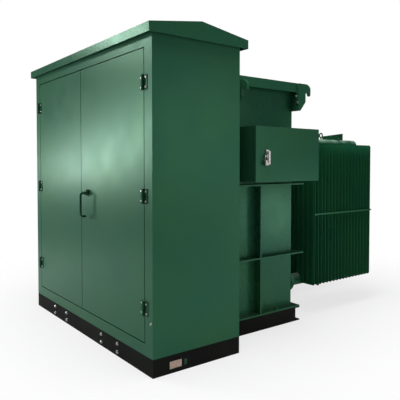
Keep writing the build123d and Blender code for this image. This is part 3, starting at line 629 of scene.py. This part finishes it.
def skin(shape, rings):
    """Faces from each ring to the next, and one to close each end."""
    for first, second in zip(rings, rings[1:]):
        for index in range(len(first)):
            after = (index + 1) % len(first)
            shape.faces.new((first[index], first[after], second[after], second[index]))
    shape.faces.new(reversed(rings[0]))
    shape.faces.new(rings[-1])


def turned(shape, profile, start, axis, sides):
    """A solid of revolution. The profile is a list of (distance along the axis, radius)."""
    axis = Vector(axis).normalized()
    across = axis.orthogonal().normalized()
    other = axis.cross(across)
    rings = []
    for along, radius in profile:
        centre = Vector(start) + axis * along
        rings.append(ring_of_corners(shape, centre, radius, across, other, sides))
    skin(shape, rings)


def bent_bar(shape, points, radius, sides):
    """A round bar along a list of points, with flat ends."""
    points = [Vector(point) for point in points]
    rings = []
    across = (points[1] - points[0]).orthogonal().normalized()
    for index, point in enumerate(points):
        before = points[max(index - 1, 0)]
        after = points[min(index + 1, len(points) - 1)]
        along = (after - before).normalized()
        across = (across - along * across.dot(along)).normalized()
        other = along.cross(across)
        rings.append(ring_of_corners(shape, point, radius, across, other, sides))
    skin(shape, rings)


def arc(centre, first, second, radius, start, end, steps):
    """Points on an arc, in the plane of two unit vectors, between two angles in degrees."""
    made = []
    for step in range(steps + 1):
        turn = math.radians(start + (end - start) * step / steps)
        away = math.cos(turn) * Vector(first) + math.sin(turn) * Vector(second)
        made.append(Vector(centre) + radius * away)
    return made


def slab(shape, low, high, bevel, steps=2):
    """A box between two corners, with its edges rounded."""
    low = Vector(low)
    high = Vector(high)
    size = high - low
    place = Matrix.Translation((low + high) / 2) @ Matrix.Diagonal((*size, 1.0))
    made = bmesh.ops.create_cube(shape, size=1.0, matrix=place)
    edges = list({edge for vert in made["verts"] for edge in vert.link_edges})
    bmesh.ops.bevel(shape, geom=edges, offset=bevel, segments=steps, profile=0.5, affect="EDGES")


def piece(name, body, slot, build, nodes=(), look=None, angle=35.0):
    """Build a mesh with a function, and hand it over as a piece on a body, in its slot's look or its own."""
    shape = bmesh.new()
    build(shape)
    bmesh.ops.recalc_face_normals(shape, faces=shape.faces)
    mesh = bpy.data.meshes.new(name)
    shape.to_mesh(mesh)
    shape.free()
    mesh.shade_smooth()
    mesh.set_sharp_from_angle(angle=math.radians(angle))
    mesh.materials.append(look or slot_looks[slot])
    made = new_object(name, mesh)
    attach(made, body)
    if nodes:
        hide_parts(*nodes)


# Radiators
def panel_columns():
    """Places across one panel with the height of its pressed flutes there, from 0 to 1."""
    half = panel_width / 2
    shares = (-1.0, -0.86, -0.6, 0.0, 0.6, 0.86, 1.0)
    columns = [(-half, 0.0)]
    run = panel_width - 2 * seam_width
    flute = (run - (flute_count - 1) * flute_gap) / flute_count
    for index in range(flute_count):
        middle = -run / 2 + flute / 2 + index * (flute + flute_gap)
        for share in shares:
            columns.append((middle + share * flute / 2, math.sqrt(max(0.0, 1 - share**4))))
    columns.append((half, 0.0))
    return columns


def panel_rows():
    """Heights up one panel with how far the flutes are pressed out there, from 0 to 1."""
    ends = ((0.0, 0.0), (0.014, 0.0), (0.018, 0.55), (0.025, 0.85), (0.036, 1.0))
    rows = [(panel_low_z + up, press) for up, press in ends]
    rows.extend((panel_high_z - up, press) for up, press in reversed(ends))
    return rows


def radiator_panels(side, centre_x):
    """The pressed panels of one radiator: two sheets seamed at the rim, with rounded flutes."""
    columns = panel_columns()
    rows = panel_rows()
    rim = rim_thick / 2
    press = panel_thick / 2 - rim
    corner = 0.010

    def build(shape):
        for index in range(panel_count):
            y = first_panel_y + index * panel_pitch
            sheets = []
            for way in (-1, 1):
                grid = []
                for number, (z, along) in enumerate(rows):
                    last = number in (0, len(rows) - 1)
                    line = []
                    for x, across in columns:
                        limit = panel_width / 2 - (corner if last else 0.0)
                        place = max(-limit, min(limit, x))
                        out = rim + press * along * across
                        line.append(shape.verts.new((centre_x + place, y + way * out, z)))
                    grid.append(line)
                for low, high in zip(grid, grid[1:]):
                    for a, b, c, d in zip(low, low[1:], high[1:], high):
                        shape.faces.new((a, b, c, d))
                sheets.append(grid)
            front, back = sheets
            for edge in (0, -1):
                for a, b, c, d in zip(front[edge], front[edge][1:], back[edge][1:], back[edge]):
                    shape.faces.new((a, b, c, d))
                for row in range(len(rows) - 1):
                    corners = (front[row][edge], front[row + 1][edge], back[row + 1][edge], back[row][edge])
                    shape.faces.new(corners)

    node = "radiator_panels_" + side
    piece(node + "_pressed", "housing", "radiator_paint", build, (node,), angle=50.0)


def radiator_headers(side, centre_x):
    """Round header pipes with the pair of flanges near the tank."""
    pipe = header_radius
    flange = flange_radius
    start = flange_start - tank_high.y
    end = flange_end - tank_high.y
    tip = header_tip_y - tank_high.y
    half_gap = 0.0012
    groove = flange - 0.006
    middle = (start + end) / 2
    edge = 0.002
    profile = [(0.0, pipe), (start, pipe), (start, flange - edge), (start + edge, flange)]
    profile += [(middle - half_gap, flange), (middle - half_gap, groove), (middle + half_gap, groove)]
    profile += [(middle + half_gap, flange), (end - edge, flange), (end, flange - edge), (end, pipe)]
    profile.append((tip, pipe))

    def build(shape):
        for z in header_heights:
            turned(shape, profile, (centre_x, tank_high.y, z), BACK, 48)

    node = "radiator_headers_" + side
    # The header paint gives the pipes' tops a painted highlight
    piece(node + "_round", "housing", "radiator_paint", build, (node,), look=paints["header_paint"])


def lifting_eyes():
    """Ring eyes on the top headers, bent from round bar, each on a collared stem."""
    low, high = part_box("radiator_lifting_eyes")
    middle_y = (low.y + high.y) / 2
    ring = 0.017
    wire = 0.005
    collar = 0.0068
    neck = 0.0055
    ring_z = high.z - ring - wire
    foot = low.z + 0.001
    stem = [(0.0, collar), (0.004, collar), (0.005, neck), (ring_z - ring - foot, neck)]

    def build(shape):
        for x in radiator_x:
            points = arc((x, middle_y, ring_z), BACK, UP, ring, -90.0, 262.0, 36)
            bent_bar(shape, points, wire, 12)
            turned(shape, stem, (x, middle_y, foot), UP, 20)

    piece("lifting_eyes_round", "housing", "radiator_paint", build, ("radiator_lifting_eyes",))


def plugs():
    """Drain plugs under the bottom headers, and vent plugs with bright caps on the top ones."""
    drain_y = first_panel_y + 0.247
    drain_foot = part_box("radiator_plugs")[0].z
    vent_y = first_panel_y + 0.468
    vent_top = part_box("radiator_plugs")[1].z
    vent_offset = 0.0153
    vent_foot = header_heights[1] + header_radius - 0.002
    cap_height = 0.003
    length = header_heights[0] - header_radius - drain_foot
    drain = [(0.0, 0.008), (0.002, 0.010), (0.012, 0.010), (0.013, 0.0148), (0.026, 0.0148)]
    drain += [(0.027, 0.0125), (length + 0.003, 0.0125)]
    rise = vent_top - vent_foot
    vent = [(0.0, 0.0088), (rise - 0.004, 0.0088), (rise - cap_height, 0.0075)]
    cap = [(0.0, 0.0072), (0.002, 0.0072), (0.0028, 0.0058)]

    def build(shape):
        for x in radiator_x:
            turned(shape, drain, (x, drain_y, drain_foot), UP, 24)
            turned(shape, vent, (x + vent_offset, vent_y, vent_foot), UP, 24)

    piece("plugs_round", "housing", "plug_paint", build, ("radiator_plugs",))

    def caps(shape):
        for x in radiator_x:
            turned(shape, cap, (x + vent_offset, vent_y, vent_top - cap_height), UP, 24)

    piece("vent_caps", "housing", "zinc_steel", caps)


# Bushings and insulators
def porcelain_pieces():
    """Turned porcelain: long bushings with drooping sheds, and short ribbed insulators."""
    low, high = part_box("high_voltage_bushings")
    length = high.y - low.y
    flange = 0.062
    core = 0.032
    shed = 0.055
    shed_count = 4
    shed_pitch = 0.042
    profile = [(0.0, flange), (0.010, flange), (0.014, flange - 0.006), (0.015, core + 0.006), (0.022, core)]
    for index in range(shed_count):
        middle = 0.014 + (index + 0.6) * shed_pitch
        profile += [(middle - 0.010, core), (middle - 0.003, shed - 0.004), (middle, shed)]
        profile += [(middle + 0.003, shed - 0.003), (middle + 0.008, core + 0.003), (middle + 0.012, core)]
    profile += [(length - 0.006, core), (length, core - 0.006)]

    def build(shape):
        for x in high_bushing_x:
            turned(shape, profile, (x, high.y, high_bushing_z), FRONT, 40)

    piece("bushings_turned", "housing", "porcelain", build, ("high_voltage_bushings",))

    short_low, short_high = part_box("low_voltage_insulators")
    short = short_high.y - short_low.y
    radius = 0.036
    rib_count = 3
    rib_pitch = 0.013
    ribs = [(0.0, radius), (0.012, radius), (0.014, radius - 0.005)]
    for index in range(rib_count):
        start = 0.016 + index * rib_pitch
        ribs += [(start, radius - 0.007), (start + 0.003, radius - 0.001), (start + 0.007, radius - 0.001)]
        ribs += [(start + 0.010, radius - 0.007)]
    ribs += [(short, radius - 0.010)]

    def short_build(shape):
        for x in low_bushing_x:
            turned(shape, ribs, (x, short_high.y, (short_low.z + short_high.z) / 2), FRONT, 40)

    piece("insulators_turned", "housing", "porcelain", short_build, ("low_voltage_insulators",))


# Door handle, padlock, seal and plates
def door_handle():
    """The bent round bar on its boss, as one forged piece."""
    low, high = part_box("door_handle")
    x = handle_x
    bar = 0.007
    arm_y = low.y + bar
    foot_z = low.z + bar
    bend = 0.016
    z = handle_z
    boss = [(0.0, 0.0145), (0.016, 0.0145), (0.019, 0.0125), (0.022, 0.0075)]

    def build(shape):
        turned(shape, boss, (x, high.y, z), FRONT, 32)
        points = [Vector((x, high.y - 0.014, z))]
        points += arc((x, arm_y + bend, z - bend), FRONT, UP, bend, 90.0, 0.0, 8)
        points += arc((x, arm_y + bend, foot_z + bend), FRONT, DOWN, bend, 0.0, 90.0, 8)
        points.append(Vector((x, front_face_y - 0.0145, foot_z)))
        bent_bar(shape, points, bar, 20)

    piece("handle_forged", "door_handle", "handle_paint", build, ("door_handle",))


def padlock():
    """The padlock on the control box: a rounded body on a bent shackle, with its key barrel below."""
    low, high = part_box("control_box_padlock")
    x = (low.x + high.x) / 2
    y = (low.y + high.y) / 2
    body_top = low.z + 0.034
    wire = 0.003
    bend = 0.009
    arc_z = high.z - wire - bend
    barrel = [(0.0, 0.006), (0.0015, 0.006), (0.0018, 0.0045)]

    def build(shape):
        slab(shape, (low.x, low.y, low.z), (high.x, high.y, body_top), 0.004, 3)
        points = [Vector((x, y + bend, body_top - 0.002))]
        points += arc((x, y, arc_z), BACK, UP, bend, 0.0, 180.0, 16)
        points.append(Vector((x, y - bend, body_top - 0.002)))
        bent_bar(shape, points, wire, 14)
        turned(shape, barrel, (x, y, low.z - 0.0002), UP, 20)

    piece("padlock_round", "control_box_door", "padlock_steel", build, ("control_box_padlock",))


def box_seal():
    """The rubber seal on the control box's edge, which its door closes on."""
    gap = 0.005
    inset = 0.0008
    thick = 0.010
    edge = 0.001
    back = box_low.x - gap + 0.0003
    front = box_low.x - 0.0004

    def build(shape):
        left = box_low.y + inset
        right = box_high.y - inset
        low = box_low.z + inset
        high = box_high.z - inset
        slab(shape, (back, left, low), (front, left + thick, high), edge)
        slab(shape, (back, right - thick, low), (front, right, high), edge)
        slab(shape, (back, left + thick, low), (front, right - thick, low + thick), edge)
        slab(shape, (back, left + thick, high - thick), (front, right - thick, high), edge)

    piece("box_seal", "housing", "black_paint", build)


def base_plates():
    """A bare tin plate and a small dark tag on the base's right side, and the screw above the corner."""
    x = cabinet_right_x
    sunk = 0.0004
    proud = 0.0012
    edge = 0.0004
    rivets_y = (0.0865, 0.1555)
    rivets_z = (0.0295, 0.0605)

    def plate(shape):
        slab(shape, (x - sunk, 0.082, 0.025), (x + proud, 0.160, 0.065), edge, 1)

    piece("bare_plate", "housing", "zinc_steel", plate, look=tin)

    def tag(shape):
        slab(shape, (x - sunk, 0.177, 0.028), (x + proud, 0.196, 0.061), edge, 1)

    piece("small_tag", "housing", "handle_paint", tag)
    rivets = [((x + 0.0011, y, z), RIGHT) for y in rivets_y for z in rivets_z]
    sizes = {"head_radius": 0.002, "head_height": 0.001, "washer_radius": 0.0022, "washer_height": 0.0003}
    bolts("plate_rivets", rivets, "housing", "zinc_steel", sides=12, **sizes)
    screw_inset = 0.012
    screw_z = 0.288
    corner = [((x - screw_inset, front_face_y, screw_z), FRONT)]
    bolts("corner_screw", corner, "housing", "zinc_steel", head_radius=0.005, washer_radius=0.0065)


# Weld beads, as one geometry nodes tree
def weld_tree():
    """A lumpy round bead along every edge of a mesh."""
    spacing = 0.008
    thinnest = 0.75
    thickest = 1.2
    tree = bpy.data.node_groups.new("weld_beads", "GeometryNodeTree")
    add_socket(tree, "Geometry", "Geometry")
    add_socket(tree, "Bead radius", "Float", 0.0035)
    add_socket(tree, "Seed", "Float", 1.0)
    add_socket(tree, "Material", "Material")
    add_socket(tree, "Geometry", "Geometry", way="OUTPUT")
    start = add_node(tree, "NodeGroupInput")
    end = add_node(tree, "NodeGroupOutput")
    line = add_node(tree, "GeometryNodeMeshToCurve")
    join(tree, start.outputs["Geometry"], line.inputs["Mesh"])
    spaced = add_node(tree, "GeometryNodeResampleCurve", mode="LENGTH")
    spaced.inputs["Length"].default_value = spacing
    join(tree, line.outputs["Curve"], spaced.inputs["Curve"])
    lumps = add_node(tree, "ShaderNodeTexNoise", {"Scale": 70.0, "Detail": 1.0}, noise_dimensions="4D")
    join(tree, start.outputs["Seed"], lumps.inputs["W"])
    spread = {"From Min": 0.3, "From Max": 0.7, "To Min": thinnest, "To Max": thickest}
    size = add_node(tree, "ShaderNodeMapRange", spread)
    join(tree, lumps.outputs["Fac"], size.inputs["Value"])
    thick = add_node(tree, "ShaderNodeMath", operation="MULTIPLY")
    join(tree, size.outputs["Result"], thick.inputs[0])
    join(tree, start.outputs["Bead radius"], thick.inputs[1])
    sized = add_node(tree, "GeometryNodeSetCurveRadius")
    join(tree, spaced.outputs["Curve"], sized.inputs["Curve"])
    join(tree, thick.outputs[0], sized.inputs["Radius"])
    section = add_node(tree, "GeometryNodeCurvePrimitiveCircle", {"Resolution": 6, "Radius": 1.0})
    swept = add_node(tree, "GeometryNodeCurveToMesh", {"Fill Caps": True})
    join(tree, sized.outputs["Curve"], swept.inputs["Curve"])
    join(tree, section.outputs["Curve"], swept.inputs["Profile Curve"])
    radius = add_node(tree, "GeometryNodeInputRadius")
    join(tree, radius.outputs["Radius"], swept.inputs["Scale"])
    real = add_node(tree, "GeometryNodeRealizeInstances")
    join(tree, swept.outputs["Mesh"], real.inputs["Geometry"])
    finish = add_node(tree, "GeometryNodeSetMaterial")
    join(tree, real.outputs["Geometry"], finish.inputs["Geometry"])
    join(tree, start.outputs["Material"], finish.inputs["Material"])
    join(tree, finish.outputs["Geometry"], end.inputs["Geometry"])
    return tree


def weld_lines():
    """The joints that carry a visible bead on the tank: ribs, bands, base plate and hook gussets."""
    lines = []
    lower_low, lower_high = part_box("tank_lower_band")
    upper_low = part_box("tank_upper_band")[0]
    rib_low, rib_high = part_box("tank_ribs")
    wall = tank_high.x
    back = tank_high.y
    gap = 0.004
    gusset_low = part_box("tank_rear_hooks")[0]
    for side in (1, -1):
        x = side * wall
        for y in (rib_low.y, rib_high.y):
            lines.append(((x, y, base_plate_high.z + gap), (x, y, lower_low.z - gap)))
            lines.append(((x, y, lower_high.z + gap), (x, y, upper_low.z - gap)))
        for z in (lower_low.z, lower_high.z, upper_low.z):
            lines.append(((x, cabinet_back_y + gap, z), (x, back, z)))
        lines.append(((x, cabinet_back_y + gap, base_plate_high.z), (x, back, base_plate_high.z)))
        lines.append(((x, gusset_low.y, gusset_low.z + gap), (x, gusset_low.y, cover_low.z - gap)))
    for z in (lower_low.z, lower_high.z, upper_low.z, base_plate_high.z):
        lines.append(((-wall, back, z), (wall, back, z)))
    return lines


def welds():
    """The tank's beads, as one mesh."""
    points = []
    edges = []
    for first, second in weld_lines():
        edges.append((len(points), len(points) + 1))
        points.extend((first, second))
    mesh = bpy.data.meshes.new("weld_beads")
    mesh.from_pydata(points, edges, [])
    made = new_object("weld_beads", mesh)
    values = {"Bead radius": 0.0034, "Seed": 4.0, "Material": paints["tank_paint"]}
    run_tree(made, weld_tree(), values)
    made.data.shade_smooth()
    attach(made, "housing")


# Stage, lights and camera
def stage():
    """A pale floor that the camera sees as white, apart from a soft shadow near the object."""
    floor_mesh = bpy.data.meshes.new("floor")
    reach = 30.0
    floor_mesh.from_pydata(
        [(-reach, -reach, 0), (reach, -reach, 0), (reach, reach, 0), (-reach, reach, 0)],
        [],
        [(0, 1, 2, 3)],
    )
    floor = new_object("floor", floor_mesh)
    made, tree, shader = new_material("pale_floor")
    tree.nodes.remove(shader)
    out = tree.nodes["Material Output"]
    matt = add_node(tree, "ShaderNodeBsdfDiffuse", {"Color": (0.86, 0.86, 0.86, 1.0)})
    glow = add_node(tree, "ShaderNodeEmission", {"Color": (1.0, 1.0, 1.0, 1.0), "Strength": 1.0})
    place = add_node(tree, "ShaderNodeTexCoord")
    centre = add_node(tree, "ShaderNodeVectorMath", {1: (0.0, 1.1, 0.0)}, operation="DISTANCE")
    join(tree, place.outputs["Object"], centre.inputs[0])
    fade = add_node(
        tree,
        "ShaderNodeMapRange",
        {"From Min": 1.2, "From Max": 3.2, "To Min": 0.72, "To Max": 1.0},
        interpolation_type="SMOOTHSTEP",
    )
    join(tree, centre.outputs["Value"], fade.inputs["Value"])
    rays = add_node(tree, "ShaderNodeLightPath")
    glossy = add_node(tree, "ShaderNodeMath", {1: GLOSSY_SHARE}, operation="MULTIPLY")
    join(tree, rays.outputs["Is Glossy Ray"], glossy.inputs[0])
    seen = add_node(tree, "ShaderNodeMath", operation="MAXIMUM")
    join(tree, rays.outputs["Is Camera Ray"], seen.inputs[0])
    join(tree, glossy.outputs[0], seen.inputs[1])
    share = add_node(tree, "ShaderNodeMath", operation="MULTIPLY")
    join(tree, fade.outputs["Result"], share.inputs[0])
    join(tree, seen.outputs[0], share.inputs[1])
    mixed = add_node(tree, "ShaderNodeMixShader")
    join(tree, share.outputs[0], mixed.inputs["Fac"])
    join(tree, matt.outputs[0], mixed.inputs[1])
    join(tree, glow.outputs[0], mixed.inputs[2])
    join(tree, mixed.outputs[0], out.inputs["Surface"])
    floor_mesh.materials.append(made)


def world():
    """White to the camera, dim to shiny paint, and soft light for the rest."""
    made = bpy.data.worlds.new("studio")
    bpy.context.scene.world = made
    made.use_nodes = True
    tree = made.node_tree
    out = tree.nodes["World Output"]
    soft = tree.nodes["Background"]
    soft.inputs["Color"].default_value = (0.95, 0.98, 1.0, 1.0)
    soft.inputs["Strength"].default_value = AMBIENT
    white = add_node(tree, "ShaderNodeBackground", {"Color": (1.0, 1.0, 1.0, 1.0), "Strength": 1.0})
    rays = add_node(tree, "ShaderNodeLightPath")
    dim = add_node(tree, "ShaderNodeBackground", {"Color": (1.0, 1.0, 1.0, 1.0), "Strength": GLOSSY_SHARE})
    shiny = add_node(tree, "ShaderNodeMixShader")
    join(tree, rays.outputs["Is Glossy Ray"], shiny.inputs["Fac"])
    join(tree, soft.outputs[0], shiny.inputs[1])
    join(tree, dim.outputs[0], shiny.inputs[2])
    clear = add_node(tree, "ShaderNodeMath", operation="MAXIMUM")
    join(tree, rays.outputs["Is Camera Ray"], clear.inputs[0])
    join(tree, rays.outputs["Is Transmission Ray"], clear.inputs[1])
    seen = add_node(tree, "ShaderNodeMixShader")
    join(tree, clear.outputs[0], seen.inputs["Fac"])
    join(tree, shiny.outputs[0], seen.inputs[1])
    join(tree, white.outputs[0], seen.inputs[2])
    join(tree, seen.outputs[0], out.inputs["Surface"])


def softbox(name, place, target, width, height, power, roll=0.0):
    """A soft lamp at a place, aimed at a target and rolled about its aim by some degrees."""
    light = bpy.data.lights.new(name, "AREA")
    light.shape = "RECTANGLE"
    light.size = width
    light.size_y = height
    light.energy = power
    made = bpy.data.objects.new(name, light)
    bpy.context.scene.collection.objects.link(made)
    made.location = place
    made.visible_camera = False
    aim = (Vector(target) - Vector(place)).to_track_quat("-Z", "Y")
    made.rotation_euler = (aim @ Quaternion(UP, math.radians(roll))).to_euler()


def lights():
    """One lamp for the streak on the doors, and soft ones for the gable, top, side and radiators."""
    softbox("front_softbox", (-2.84, -2.10, 1.50), (0.3, 0.0, 1.2), 2.0, 0.34, 54.0, roll=34.0)
    softbox("upper_softbox", (-2.6, -1.9, 2.8), (0.6, 0.0, 1.8), 0.8, 0.4, 22.0)
    softbox("top_softbox", (0.6, 0.4, 4.2), (0.3, 0.8, 1.0), 2.4, 2.4, 185.0)
    softbox("right_softbox", (4.2, 2.6, 1.5), (0.6, 0.9, 0.9), 1.6, 1.6, 16.0)
    softbox("low_softbox", (3.0, 3.6, 0.45), (0.58, 1.1, 0.75), 0.7, 0.6, 6.5)


def camera():
    """The photograph's view: the lens and place come from a camera fitted to its edges."""
    lens = bpy.data.cameras.new("camera")
    made = bpy.data.objects.new("camera", lens)
    bpy.context.scene.collection.objects.link(made)
    image_width = 400.0
    focal_pixels = 499.754
    centre_row = 180.377
    lens.sensor_width = 36.0
    lens.lens = lens.sensor_width * focal_pixels / image_width
    lens.shift_y = -(image_width / 2 - centre_row) / image_width
    yaw = math.radians(52.87)
    pitch = math.radians(1.88)
    forward = Vector((-math.sin(yaw) * math.cos(pitch), math.cos(yaw) * math.cos(pitch), -math.sin(pitch)))
    made.location = (3.0765, -1.388, 1.128)
    made.rotation_euler = forward.to_track_quat("-Z", "Y").to_euler()
    bpy.context.scene.camera = made


camera()
world()
lights()
stage()
dress_nodes()
for side, centre in zip(("right", "middle", "left"), radiator_x):
    radiator_panels(side, centre)
    radiator_headers(side, centre)
lifting_eyes()
plugs()
porcelain_pieces()
door_handle()
padlock()
box_seal()
base_plates()
base_bolts()
hinge_screws()
hook_bolts()
ledge_bolts()
cover_nuts()
header_bolts()
bushing_bolts()
welds()

bpy.context.scene.view_settings.view_transform = "Standard"
